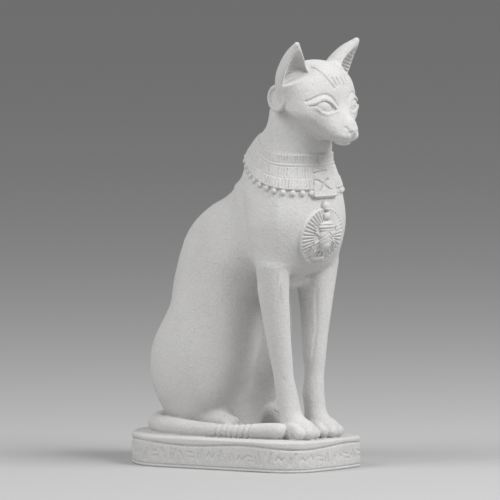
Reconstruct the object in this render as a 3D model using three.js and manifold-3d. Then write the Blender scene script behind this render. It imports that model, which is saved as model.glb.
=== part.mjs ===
// A seated cat figure on its own low base, cast in one piece in white stone plaster.
// Millimetres, +Z up. The cat looks along -Y, and its centre plane is X = 0, so its right side is at -X.
// The origin is on the underside of the base, in that plane.

import * as THREE from 'three';
import { edgeTable, triTable } from 'three/addons/objects/MarchingCubes.js';
import { mergeVertices } from 'three/addons/utils/BufferGeometryUtils.js';
import Module from 'manifold-3d';

const wasm = await Module();
wasm.setup();

// Driving sizes
const figureHeight = 306.5; // soles to ear tips
const plinthHeight = 18.5; // lower part of the base, which carries the carved band
const slabHeight = 5; // upper slab under the paws
const slabEdgeRound = 1.6;
const plinthFootRound = 1.2;
const grooveHeight = 1.2; // cut line between plinth and slab
const grooveDepth = 1.4;
const grooveWave = 1.1; // rise and fall of that line along the sides
const grooveWaves = 5;
const footGrooveLift = 2.2; // centre of the lower cut line above the underside
const footGrooveHeight = 0.9;
const footGrooveDepth = 0.8;
const baseTailWidth = 70; // from the centre plane to the side that carries the tail
const baseLeftWidth = 43;
const baseFront = 98; // from the origin to the front edge
const baseRear = 88;
const collarThickness = 2.2;
const beadRadius = 2.5;
const beadPitch = 7;
const pendantRadius = 21.6;
const pendantAside = 3.2; // of the pendant's centre towards the cat's right side
const pendantClearance = 10.4; // from the foot of the breast to the pendant
const pendantThickness = 1.6;
const beetleLength = 18.4;
const sunBallRadius = 3.7;
const earringRadius = 9;
const earringWire = 1.7;
const earringWeb = 1.8; // thickness of the plaster that fills the hoop
const tailRadius = 7.4;
const tailRingCount = 7;
const tailRingPitch = 4.5;
const tailRingRadius = 0.9;

// Modelling grain
const fineStep = 1.25; // cell of the marching grid at the head and paws
const middleStep = 1.9; // cell at the hind feet
const broadStep = 2.6; // cell elsewhere
const figureTriangles = 6800; // skin of the cat before the carvings are joined on
const allTriangles = 9700; // everything after the joins
const sink = 5; // depth that the figure is set into the slab before they are joined

const standTop = plinthHeight + slabHeight;
// The pose is written for a figure 306.2 mm tall and follows figureHeight.
const posedHeight = 306.2;
const pose = figureHeight / posedHeight;
const posed = (size) => size / pose; // a real size, in the units of the posed figure
const plaster = new THREE.MeshStandardMaterial({
  name: 'white_plaster',
  color: 0xdcdcda,
  roughness: 0.85,
  metalness: 0,
});

// Small vector helpers on plain arrays, for speed in the field
const lerp = (a, b, t) => a + (b - a) * t;
const clamp01 = (t) => Math.min(1, Math.max(0, t));
const smoothstep = (low, high, v) => {
  const t = clamp01((v - low) / (high - low));
  return t * t * (3 - 2 * t);
};

// Smooth union and smooth cut of two distances
function blend(a, b, k) {
  if (a === Infinity) return b;
  const h = Math.max(k - Math.abs(a - b), 0) / k;
  return Math.min(a, b) - (h * h * k) / 4;
}
function carve(a, b, k) {
  const h = Math.max(k - Math.abs(a + b), 0) / k;
  return Math.max(a, -b) + (h * h * k) / 4;
}

// Distance to an ellipsoid that leans by `lean` degrees about X (its top tips towards -Y)
function ellipsoid(cx, cy, cz, rx, ry, rz, lean = 0) {
  const c = Math.cos((lean * Math.PI) / 180);
  const s = Math.sin((lean * Math.PI) / 180);
  return (x, y, z) => {
    const dx = x - cx;
    const dy = c * (y - cy) + s * (z - cz);
    const dz = c * (z - cz) - s * (y - cy);
    const k0 = Math.hypot(dx / rx, dy / ry, dz / rz);
    const k1 = Math.hypot(dx / (rx * rx), dy / (ry * ry), dz / (rz * rz));
    return k1 > 1e-9 ? (k0 * (k0 - 1)) / k1 : -Math.min(rx, ry, rz);
  };
}

// A value between start and end on a smooth run through four values
function hermite(before, start, end, after, t) {
  const m0 = (end - before) / 2;
  const m1 = (after - start) / 2;
  const t2 = t * t;
  const t3 = t2 * t;
  const rise = 3 * t2 - 2 * t3;
  return (1 - rise) * start + (t3 - 2 * t2 + t) * m0 + rise * end + (t3 - t2) * m1;
}

// Distance to a chain of tapering round bars through [x, y, z, radius] points
function limb(points) {
  return (x, y, z) => {
    let d = Infinity;
    for (let i = 0; i + 1 < points.length; i++) {
      const [ax, ay, az, ar] = points[i];
      const [bx, by, bz, br] = points[i + 1];
      const ux = bx - ax;
      const uy = by - ay;
      const uz = bz - az;
      const t = clamp01(((x - ax) * ux + (y - ay) * uy + (z - az) * uz) / (ux * ux + uy * uy + uz * uz));
      d = Math.min(d, Math.hypot(x - ax - ux * t, y - ay - uy * t, z - az - uz * t) - lerp(ar, br, t));
    }
    return d;
  };
}

// Like a limb, with rounded turns, and with a skin that touches every ball along it
function horn(points) {
  const past = (end, next) => end.map((v, j) => 2 * v - next[j]);
  const run = [past(points[0], points[1]), ...points, past(points.at(-1), points.at(-2))];
  const path = [];
  for (let i = 1; i + 2 < run.length; i++) {
    for (const t of [0, 0.25, 0.5, 0.75]) {
      path.push(run[i].map((v, j) => hermite(run[i - 1][j], v, run[i + 1][j], run[i + 2][j], t)));
    }
  }
  path.push(points.at(-1));
  const bars = path.slice(1).map((b, i) => {
    const a = path[i];
    const length = Math.hypot(b[0] - a[0], b[1] - a[1], b[2] - a[2]);
    const slant = (b[3] - a[3]) / length;
    const way = [0, 1, 2].map((j) => (b[j] - a[j]) / length);
    return { a, way, length, slant, lean: slant / Math.sqrt(1 - slant * slant) };
  });
  return (x, y, z) => {
    let d = Infinity;
    for (const { a, way, length, slant, lean } of bars) {
      const v = [x - a[0], y - a[1], z - a[2]];
      const along = v[0] * way[0] + v[1] * way[1] + v[2] * way[2];
      const out = Math.sqrt(Math.max(0, v[0] * v[0] + v[1] * v[1] + v[2] * v[2] - along * along));
      const t = clamp01((along + out * lean) / length) * length;
      d = Math.min(d, Math.hypot(along - t, out) - a[3] - slant * t);
    }
    return d;
  };
}

// Distance to an upright body given by level sections [z, front, widest, back, half width].
// Each section is an egg: one half ellipse in front of the widest line and one behind it.
function sections(levels) {
  const at = (i, j) => levels[Math.min(levels.length - 1, Math.max(0, i))][j];
  const value = (i, t, j) => {
    return hermite(at(i - 1, j), at(i, j), at(i + 1, j), at(i + 2, j), t);
  };
  return (x, y, z) => {
    let i = 0;
    while (i < levels.length - 2 && z < levels[i + 1][0]) i++;
    const t = clamp01((levels[i][0] - z) / (levels[i][0] - levels[i + 1][0]));
    const widest = value(i, t, 2);
    const w = value(i, t, 4);
    const l = y < widest ? widest - value(i, t, 1) : value(i, t, 3) - widest;
    const dy = y - widest;
    const k0 = Math.hypot(x / w, dy / l);
    const k1 = Math.hypot(x / (w * w), dy / (l * l));
    const side = k1 > 1e-9 ? (k0 * (k0 - 1)) / k1 : -Math.min(w, l);
    const over = Math.max(z - levels[0][0], levels.at(-1)[0] - z);
    return over > 0 && side > 0 ? Math.hypot(over, side) : Math.max(side, over);
  };
}

// The parts of the cat, in mm of the 306.2 mm figure, z from its soles. Paired parts are written for +X.
const breastFoot = 124;
const neckAndBreast = sections([
  [251, -80, -64, -38.5, 22.5],
  [240, -81.5, -62, -35.5, 22.5],
  [226, -85.4, -60, -22.5, 26.3],
  [212, -83, -58, -14, 30],
  [194, -87, -64, -11, 35],
  [177, -90, -66, -10, 38.2],
  [163, -90.4, -66, -10, 38.4],
  [150, -88.4, -64, -14, 36],
  [140, -83, -62, -22, 32.4],
  [132, -77, -60, -34, 26],
  [126.5, -70, -58, -44, 17],
  [breastFoot, -63, -57, -50, 8],
]);
const trunk = sections([
  [190, -40, -25, -9, 25],
  [184, -45, -25, 2, 27.5],
  [175.5, -50, -25, 20, 31],
  [166, -55, -25, 34, 34.5],
  [157, -57, -22, 43, 36.5],
  [148, -58, -20, 49, 38],
  [133, -50, -10, 54, 39.5],
  [114, -36, 5, 57, 41],
  [95, -25, 15, 57, 42],
  [85, -22, 18, 58.6, 42.4],
  [76, -19, 20, 63.4, 43],
  [66, -17, 21, 68.6, 43.5],
  [56, -15, 22, 71, 43.5],
  [36, -11, 22, 69, 41.5],
  [20, -7, 22, 63.6, 36.5],
  [-4, -10, 22, 60, 34],
]);
const shoulder = limb([
  [21, -46, 182, 16.5],
  [25, -53.5, 162, 17],
  [28.2, -57.7, 134, 14],
  [25.4, -58.1, 107, 11.5],
  [21.5, -58.8, 79, 9.6],
  [17.4, -61, 46, 7.5],
  [15.2, -62.2, 32, 8.4],
  [14.2, -65.2, 18, 8.4],
]);
// The inner side of the foreleg's upper part, and the low belly between the forelegs
const innerLeg = limb([
  [20, -50, 128, 9],
  [20, -52, 111, 7.6],
  [20, -53.5, 97, 6.8],
  [18.5, -56, 79, 6],
  [17, -58.5, 61, 5.5],
]);
const lowBelly = ellipsoid(0, -49, 122, 17, 12, 9.5);
const thigh = ellipsoid(30, 22, 51, 17, 36, 41);
const flank = ellipsoid(18, -8, 84, 23, 20, 42);
const hindFoot = limb([
  [28, 20, 10, 9.5],
  [28.5, -8, 10, 8.6],
  [28.5, -18, 8, 7],
]);
const pawBody = ellipsoid(13.3, -71.5, 6, 11, 17, 10.5);
const skull = ellipsoid(0, -76, 262.5, 29.5, 28.5, 28);
const brow = ellipsoid(0, -85, 266.5, 29.2, 15.8, 19.5);
const orbit = ellipsoid(12.3, -85, 259, 14.5, 14.8, 16.5);
const saddle = ellipsoid(0, -92, 253, 13.5, 13.2, 13);
const cheek = ellipsoid(15, -80, 250, 15.4, 22, 14.5);
const muzzle = limb([
  [0, -80, 249, 18],
  [0, -98.5, 241.5, 11.8],
  [0, -109.6, 237.5, 7.6],
]);
const muzzleSide = limb([
  [15, -84, 250, 11],
  [5.5, -104, 238.5, 6.8],
]);
const noseBridge = limb([
  [0, -93.5, 264, 6],
  [0, -98.5, 253, 5.5],
  [0, -112.3, 243.2, 4.2],
]);
const nosePad = ellipsoid(0, -113.7, 238.2, 6, 5, 4.2);
const lip = ellipsoid(4.2, -109, 234, 5.6, 7.2, 4.4);
const chin = ellipsoid(0, -105.6, 230.4, 7, 6.6, 4.2);
const jaw = limb([
  [13, -62, 250, 11],
  [9, -87, 239, 9.5],
  [3, -102, 233, 6.4],
]);
// Underside of the head: [y, height on the centre plane, height at the jaw's edge, half width at that edge]
const jawEdge = [
  [-116, 224, 228, 7],
  [-106, 225.4, 230.6, 9],
  [-95, 227.6, 235.5, 15],
  [-85, 231, 240.7, 20.5],
  [-76, 238, 248.5, 25],
  [-70, 243, 254, 26.5],
  [-62, 250, 264, 27],
  [-50, 262, 280, 27],
];
function headUnderside(x, y) {
  let i = 0;
  while (i < jawEdge.length - 2 && y > jawEdge[i + 1][0]) i++;
  const t = clamp01((y - jawEdge[i][0]) / (jawEdge[i + 1][0] - jawEdge[i][0]));
  const [middle, edge, wide] = [1, 2, 3].map((j) => lerp(jawEdge[i][j], jawEdge[i + 1][j], t));
  return middle + (edge - middle) * (x / wide) ** 1.5;
}
const throat = limb([
  [0, -60, 240, 21],
  [0, -63.5, 251, 21],
]);

// The face's lines, seen from the front: [sideways from the centre plane, height]
const browLine = [
  [27.6, 260.5],
  [25.5, 261.7],
  [23, 263.3],
  [19, 265],
  [15.5, 265.8],
  [12.7, 265],
  [10, 263.2],
  [7, 259.8],
  [5.2, 256.5],
];
const upperLid = [
  [27.1, 257.3],
  [24.7, 257.8],
  [22.4, 259.3],
  [19.7, 260.7],
  [16, 261],
  [12.2, 259.1],
  [8.6, 256],
  [7.3, 254.3],
];
const lowerLid = [
  [23.3, 256.4],
  [20.6, 253],
  [15, 251.8],
  [11, 252.3],
  [7.5, 253.9],
];
const mouthLine = [
  [0, 228.6],
  [5.9, 229.2],
  [7.5, 230.7],
  [10.3, 232.3],
];
const eyeCentre = [17.3, 256.7];
const irisRadius = 2.8;
function toLine(points, x, z) {
  let best = Infinity;
  for (let i = 0; i + 1 < points.length; i++) {
    const [ax, az] = points[i];
    const [bx, bz] = points[i + 1];
    const t = clamp01(((x - ax) * (bx - ax) + (z - az) * (bz - az)) / ((bx - ax) ** 2 + (bz - az) ** 2));
    best = Math.min(best, Math.hypot(x - ax - (bx - ax) * t, z - az - (bz - az) * t));
  }
  return best;
}
// Height of a line at x, for lines drawn from the outer end inwards
function heightOn(points, x) {
  let i = 0;
  while (i < points.length - 2 && x < points[i + 1][0]) i++;
  return lerp(points[i][1], points[i + 1][1], (points[i][0] - x) / (points[i][0] - points[i + 1][0]));
}
const bump = (distance, width) => Math.exp(-((distance / width) ** 2));
// How far the face is cut in (or, below zero, stands out) at a place
function faceRelief(x, y, z) {
  if (y > -80 || z < 226 || z > 272) return 0;
  let cut = 0.9 * bump(toLine(browLine, x, z), 1);
  cut -= 0.75 * smoothstep(28, 24, x) * bump(toLine(upperLid, x, z + (z > 256 ? -1.8 : 0)), 1.3);
  const open = Math.min(heightOn(upperLid, x) - z, z - heightOn(lowerLid, x));
  if (x > 7.6 && x < 26) {
    const eye = 1 - (Math.hypot(x - eyeCentre[0], (z - eyeCentre[1]) * 1.7) / 9) ** 2;
    const fromIris = Math.hypot(x - eyeCentre[0], z - eyeCentre[1]) - irisRadius;
    cut += 1.25 * smoothstep(-0.5, 1.2, open) - 1.35 * clamp01(eye);
    cut -= 0.5 * smoothstep(0.4, -0.5, fromIris);
  }
  cut -= 0.5 * bump(toLine(lowerLid, x, z + 1.3), 1.1);
  return cut + 0.9 * bump(toLine(mouthLine, x, z), 0.9);
}

// An ear: a cone that leans forwards and outwards, hollowed by a smaller cone set towards its opening
const earShell = horn([
  [15, -71, 258, 11],
  [20.5, -73, 268, 13],
  [25, -74.6, 277, 11.8],
  [27.7, -78.8, 286, 10.2],
  [30.4, -82.8, 294.5, 7],
  [34.2, -89.2, 304, 2.3],
]);
const earHollow = horn([
  [26.8, -80.4, 273, 9.8],
  [29.8, -85.6, 286, 7.9],
  [34.4, -92.2, 300.2, 0.6],
]);
// The hollow's foot: a ramp that climbs from the opening's lower edge to the back wall
const earFloor = (x, y) => 271.2 + 0.657 * (37 - x) + 0.9 * Math.max(y + 76 + 0.68 * (32 - x), 0);

const toes = [
  [-8.6, -81.5],
  [-3.1, -85.8],
  [3.1, -85.8],
  [8.6, -81.5],
].map(([side, forward]) =>
  limb([
    [13.3 + side * 0.75, -68, 9.6, 4],
    [13.3 + side * 0.95, forward + 4.5, 7.6, 4.5],
    [13.3 + side, forward, 4.6, 4.4],
  ]),
);
const hindToes = [-5.7, -1.9, 1.9, 5.7].map((side) =>
  limb([
    [28.5 + side * 0.7, -12, 11.6, 3.8],
    [28.5 + side, -25 + Math.abs(side) * 0.5, 5.6, 3.8],
  ]),
);

// The tail runs from behind the rump round the right side and ends beside the right forepaw.
const tailRoute = [
  [8, 63, 8],
  [-12, 65.5, 7],
  [-32, 56.5, 6.4],
  [-45.5, 37, 6],
  [-48, 12, 5.8],
  [-43.5, -14, 5.4],
  [-38, -34, 5.4],
  [-30.5, -54, 6.2],
  [-27, -64, 6.4],
].map((place) => new THREE.Vector3(...place));
const tailPoints = new THREE.CatmullRomCurve3(tailRoute).getPoints(40).map((p, i) => {
  const t = i / 40;
  const thinning = lerp(posed(tailRadius), 5, smoothstep(0.35, 0.68, t));
  const radius = t < 0.7 ? thinning : lerp(5, 6.1, smoothstep(0.72, 0.9, t));
  return [p.x, p.y, p.z, radius];
});
const tail = limb(tailPoints);

const pendantX = -posed(pendantAside);
const pendantHeight = breastFoot + posed(pendantClearance + pendantRadius);

// Lower edge of the collar: it rises towards the nape
const collarLow = (y) => 188.5 + 0.0052 * (y + 88) ** 2;
const collarNarrowing = (y) => 1 - 0.1 * smoothstep(-82, -55, y);

// Soft valley between the shoulder and the trunk: [y, z]
const shoulderCrease = [
  [-33, 190],
  [-35, 184],
  [-44.6, 152.5],
  [-52, 120],
];

// Everything that is blended into one skin. Negative inside, in mm of the posed figure.
function field(x, y, z) {
  const ax = Math.abs(x);
  let d = Infinity;
  if (z > 110) d = neckAndBreast(x, y, z);
  if (z < 205) d = blend(d, trunk(x, y, z), 16);
  if (z < 145) {
    d = blend(d, thigh(ax, y, z), 20);
    if (z > 30) d = blend(d, flank(ax, y, z), 14);
  }
  if (z < 26 && y > -45) {
    d = blend(d, hindFoot(ax, y, z), 5);
    for (const toe of hindToes) d = blend(d, toe(ax, y, z), 1);
  }
  if (z < 215) {
    let foreleg = shoulder(ax, y, z);
    if (z < 40) {
      foreleg = blend(foreleg, pawBody(ax, y, z), 7);
      if (z < 20 && y < -55) for (const toe of toes) foreleg = blend(foreleg, toe(ax, y, z), 1);
    }
    if (z > 55 && z < 142) foreleg = blend(foreleg, innerLeg(ax, y, z), 4);
    d = blend(d, foreleg, lerp(7, 14, smoothstep(110, 160, z)));
    if (z > 108 && z < 136) d = blend(d, lowBelly(x, y, z), 5);
    if (z > 106 && z < 194 && ax > 14) {
      const fade = smoothstep(194, 182, z) * smoothstep(106, 124, z) * smoothstep(14, 22, ax);
      d += 1.6 * fade * bump(toLine(shoulderCrease, y, z), 5);
    }
  }
  if (z > 180) {
    if (z > 212) {
      let head = blend(skull(x, y, z), brow(x, y, z), 8);
      head = blend(head, orbit(ax, y, z), 5);
      head = blend(head, saddle(x, y, z), 4);
      head = blend(head, cheek(ax, y, z), 10);
      head = blend(head, muzzle(x, y, z), 8);
      head = blend(head, muzzleSide(ax, y, z), 6);
      head = blend(head, jaw(ax, y, z), 8);
      head = blend(head, noseBridge(x, y, z), 6);
      head = blend(head, lip(ax, y, z), 3);
      head = blend(head, chin(x, y, z), 4);
      head = blend(head, nosePad(x, y, z), 2);
      head = carve(head, 0.8 * (z - headUnderside(ax, y)), 2.5);
      head += faceRelief(ax, y, z);
      if (z > 240) {
        head = blend(head, earShell(ax, y, z), 5);
        head = carve(head, Math.max(earHollow(ax, y, z), earFloor(ax, y) - z), 1.6);
      }
      d = blend(d, head, 5);
      d = blend(d, throat(x, y, z), 6);
    }
  }
  const fromPendant = Math.hypot(x - pendantX, z - pendantHeight) - posed(pendantRadius);
  if (fromPendant < 1 && y < -60) d -= posed(pendantThickness) * (1 - smoothstep(-0.8, 0.8, fromPendant));
  if (z < 24) d = blend(d, tail(x, y, z), 1.5);
  return d;
}

// Marching cubes over the field, on a grid that is finer at the head and paws
function ticks(stretches) {
  const places = [stretches[0][0]];
  for (const [from, to, cell] of stretches) {
    const count = Math.ceil((to - from) / (cell / pose));
    for (let i = 1; i <= count; i++) places.push(lerp(from, to, i / count));
  }
  return places;
}
function skin() {
  const xs = ticks([[-62, -38, broadStep], [-38, 38, fineStep], [38, 62, broadStep]]);
  const ys = ticks([[-122, -58, fineStep], [-58, -4, middleStep], [-4, 84, broadStep]]);
  const zs = ticks([
    [-sink - broadStep, 0, broadStep],
    [0, 24, fineStep],
    [24, 216, broadStep],
    [216, 312, fineStep],
  ]);
  const [nx, ny, nz] = [xs.length, ys.length, zs.length];
  const values = new Float32Array(nx * ny * nz);
  const block = 4;
  const index = (i, j, k) => (k * ny + j) * nx + i;
  for (let k = 0; k < nz; k += block)
    for (let j = 0; j < ny; j += block)
      for (let i = 0; i < nx; i += block) {
        const i1 = Math.min(i + block, nx) - 1;
        const j1 = Math.min(j + block, ny) - 1;
        const k1 = Math.min(k + block, nz) - 1;
        const span = Math.hypot(xs[i1] - xs[i], ys[j1] - ys[j], zs[k1] - zs[k]);
        const centre = field((xs[i] + xs[i1]) / 2, (ys[j] + ys[j1]) / 2, (zs[k] + zs[k1]) / 2);
        const near = Math.abs(centre) < span * 0.8 + 4;
        for (let c = k; c <= k1; c++)
          for (let b = j; b <= j1; b++)
            for (let a = i; a <= i1; a++)
              values[index(a, b, c)] = near ? Math.max(field(xs[a], ys[b], zs[c]), -sink - zs[c]) : centre;
      }
  const corners = [[0, 0, 0], [1, 0, 0], [1, 1, 0], [0, 1, 0], [0, 0, 1], [1, 0, 1], [1, 1, 1], [0, 1, 1]];
  const edges = [
    [0, 1], [1, 2], [2, 3], [3, 0],
    [4, 5], [5, 6], [6, 7], [7, 4],
    [0, 4], [1, 5], [2, 6], [3, 7],
  ];
  const points = [];
  const made = new Map();
  const faces = [];
  const cornerOf = (i, j, k, c) => index(i + corners[c][0], j + corners[c][1], k + corners[c][2]);
  const vertexOn = (i, j, k, e) => {
    const [c0, c1] = edges[e];
    const g0 = cornerOf(i, j, k, c0);
    const g1 = cornerOf(i, j, k, c1);
    const key = Math.min(g0, g1) * 3 + [1, nx, nx * ny].indexOf(Math.abs(g1 - g0));
    let found = made.get(key);
    if (found === undefined) {
      const t = Math.min(0.93, Math.max(0.07, values[g0] / (values[g0] - values[g1])));
      found = points.length / 3;
      const [a, b] = [corners[c0], corners[c1]];
      points.push(
        lerp(xs[i + a[0]], xs[i + b[0]], t),
        lerp(ys[j + a[1]], ys[j + b[1]], t),
        lerp(zs[k + a[2]], zs[k + b[2]], t),
      );
      made.set(key, found);
    }
    return found;
  };
  for (let k = 0; k + 1 < nz; k++)
    for (let j = 0; j + 1 < ny; j++)
      for (let i = 0; i + 1 < nx; i++) {
        let kind = 0;
        for (let c = 0; c < 8; c++) if (values[cornerOf(i, j, k, c)] < 0) kind |= 1 << c;
        if (edgeTable[kind] === 0) continue;
        for (let n = kind * 16; triTable[n] !== -1; n += 3)
          for (const turn of [0, 2, 1]) faces.push(vertexOn(i, j, k, triTable[n + turn]));
      }
  return { points: Float64Array.from(points), faces: Uint32Array.from(faces) };
}

// Thins a closed triangle mesh by collapsing the edges that change its shape least.
// `care` weights a place: its edges cost more and so stay finer.
function thin(points, faces, target, care) {
  const nv = points.length / 3;
  const quad = new Float64Array(nv * 10);
  const around = Array.from({ length: nv }, () => new Set());
  const live = new Uint8Array(faces.length / 3).fill(1);
  const at = (v, axis) => points[v * 3 + axis];
  const normalOf = (a, b, c) => {
    const u = [0, 1, 2].map((i) => b[i] - a[i]);
    const v = [0, 1, 2].map((i) => c[i] - a[i]);
    return [u[1] * v[2] - u[2] * v[1], u[2] * v[0] - u[0] * v[2], u[0] * v[1] - u[1] * v[0]];
  };
  const spot = (v) => [at(v, 0), at(v, 1), at(v, 2)];
  for (let f = 0; f < live.length; f++) {
    const corners = [faces[f * 3], faces[f * 3 + 1], faces[f * 3 + 2]];
    const a = spot(corners[0]);
    const n = normalOf(a, spot(corners[1]), spot(corners[2]));
    const length = Math.hypot(...n) || 1e-12;
    const [p, q, r] = n.map((v) => v / length);
    const s = -(p * a[0] + q * a[1] + r * a[2]);
    const terms = [p * p, p * q, p * r, p * s, q * q, q * r, q * s, r * r, r * s, s * s];
    const weight = length * care(a[0], a[1], a[2]);
    for (const v of corners) {
      around[v].add(f);
      for (let i = 0; i < 10; i++) quad[v * 10 + i] += terms[i] * weight;
    }
  }
  const costAt = (q, x, y, z) =>
    q[0] * x * x + 2 * q[1] * x * y + 2 * q[2] * x * z + 2 * q[3] * x + q[4] * y * y +
    2 * q[5] * y * z + 2 * q[6] * y + q[7] * z * z + 2 * q[8] * z + q[9];
  const det3 = (a, b, c, d, e, f, g, h, i) =>
    a * (e * i - f * h) - b * (d * i - f * g) + c * (d * h - e * g);
  const stamp = new Uint32Array(nv);
  const heap = [];
  const push = (item) => {
    let i = heap.push(item) - 1;
    while (i > 0) {
      const parent = (i - 1) >> 1;
      if (heap[parent].cost <= item.cost) break;
      heap[i] = heap[parent];
      i = parent;
    }
    heap[i] = item;
  };
  const pop = () => {
    const top = heap[0];
    const last = heap.pop();
    let i = 0;
    while (heap.length > 0) {
      let child = i * 2 + 1;
      if (child >= heap.length) break;
      if (child + 1 < heap.length && heap[child + 1].cost < heap[child].cost) child++;
      if (heap[child].cost >= last.cost) break;
      heap[i] = heap[child];
      i = child;
    }
    if (heap.length > 0) heap[i] = last;
    return top;
  };
  const consider = (u, v) => {
    const q = new Float64Array(10);
    for (let i = 0; i < 10; i++) q[i] = quad[u * 10 + i] + quad[v * 10 + i];
    const mid = [0, 1, 2].map((i) => (at(u, i) + at(v, i)) / 2);
    const det = det3(q[0], q[1], q[2], q[1], q[4], q[5], q[2], q[5], q[7]);
    let best = mid;
    const span = Math.hypot(at(u, 0) - at(v, 0), at(u, 1) - at(v, 1), at(u, 2) - at(v, 2));
    if (Math.abs(det) > 1e-4 * (q[0] + q[4] + q[7]) ** 3) {
      const x = -det3(q[3], q[1], q[2], q[6], q[4], q[5], q[8], q[5], q[7]) / det;
      const y = -det3(q[0], q[3], q[2], q[1], q[6], q[5], q[2], q[8], q[7]) / det;
      const z = -det3(q[0], q[1], q[3], q[1], q[4], q[6], q[2], q[5], q[8]) / det;
      if (Math.hypot(x - mid[0], y - mid[1], z - mid[2]) < span) best = [x, y, z];
    }
    for (const option of [spot(u), spot(v), mid])
      if (costAt(q, ...option) < costAt(q, ...best)) best = option;
    const weight = care(...mid);
    push({ u, v, us: stamp[u], vs: stamp[v], best, cost: costAt(q, ...best) + 1e-4 * weight * span ** 3 });
  };
  const neighbours = (v) => {
    const set = new Set();
    for (const f of around[v]) for (let i = 0; i < 3; i++) set.add(faces[f * 3 + i]);
    set.delete(v);
    return set;
  };
  for (let f = 0; f < live.length; f++)
    for (let i = 0; i < 3; i++) {
      const u = faces[f * 3 + i];
      const v = faces[f * 3 + ((i + 1) % 3)];
      if (u < v) consider(u, v);
    }
  let count = live.length;
  while (count > target && heap.length > 0) {
    const { u, v, us, vs, best } = pop();
    if (stamp[u] !== us || stamp[v] !== vs) continue;
    const nu = neighbours(u);
    const shared = [...neighbours(v)].filter((w) => nu.has(w));
    if (shared.length !== 2) continue;
    let flips = false;
    for (const end of [u, v])
      for (const f of around[end]) {
        const corners = [faces[f * 3], faces[f * 3 + 1], faces[f * 3 + 2]];
        if (corners.includes(u) && corners.includes(v)) continue;
        const was = normalOf(...corners.map(spot));
        const now = normalOf(...corners.map((c) => (c === end ? best : spot(c))));
        const dot = was[0] * now[0] + was[1] * now[1] + was[2] * now[2];
        if (dot < 0.3 * Math.hypot(...was) * Math.hypot(...now) || Math.hypot(...now) < 1e-5) flips = true;
      }
    if (flips) continue;
    for (const f of [...around[v]]) {
      if (around[u].has(f)) {
        live[f] = 0;
        count--;
        for (let i = 0; i < 3; i++) around[faces[f * 3 + i]].delete(f);
      } else {
        for (let i = 0; i < 3; i++) if (faces[f * 3 + i] === v) faces[f * 3 + i] = u;
        around[u].add(f);
      }
    }
    for (let i = 0; i < 10; i++) quad[u * 10 + i] += quad[v * 10 + i];
    for (let i = 0; i < 3; i++) points[u * 3 + i] = best[i];
    stamp[u]++;
    stamp[v] = 0xffffffff;
    for (const w of neighbours(u)) consider(u, w);
  }
  const kept = [];
  for (let f = 0; f < live.length; f++)
    if (live[f]) kept.push(faces[f * 3], faces[f * 3 + 1], faces[f * 3 + 2]);
  return { points, faces: Uint32Array.from(kept) };
}

// Solids for the joins, from plain triangles or from three.js geometry
function solidFrom(points, faces) {
  const used = new Map();
  const triVerts = Uint32Array.from(faces, (v) => {
    if (!used.has(v)) used.set(v, used.size);
    return used.get(v);
  });
  const vertProperties = new Float32Array(used.size * 3);
  for (const [v, n] of used) for (let i = 0; i < 3; i++) vertProperties[n * 3 + i] = points[v * 3 + i];
  return wasm.Manifold.ofMesh(new wasm.Mesh({ numProp: 3, triVerts, vertProperties }));
}
function solidOf(geometry) {
  const bare = new THREE.BufferGeometry();
  bare.setAttribute('position', geometry.attributes.position.clone());
  if (geometry.index) bare.setIndex(geometry.index);
  const welded = mergeVertices(bare, 1e-4);
  const p = welded.attributes.position.array;
  const faces = [];
  for (let i = 0; i < welded.index.count; i += 3) {
    const [a, b, c] = [0, 1, 2].map((j) => welded.index.getX(i + j));
    if (a !== b && b !== c && c !== a) faces.push(a, b, c);
  }
  return solidFrom(p, faces);
}

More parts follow.
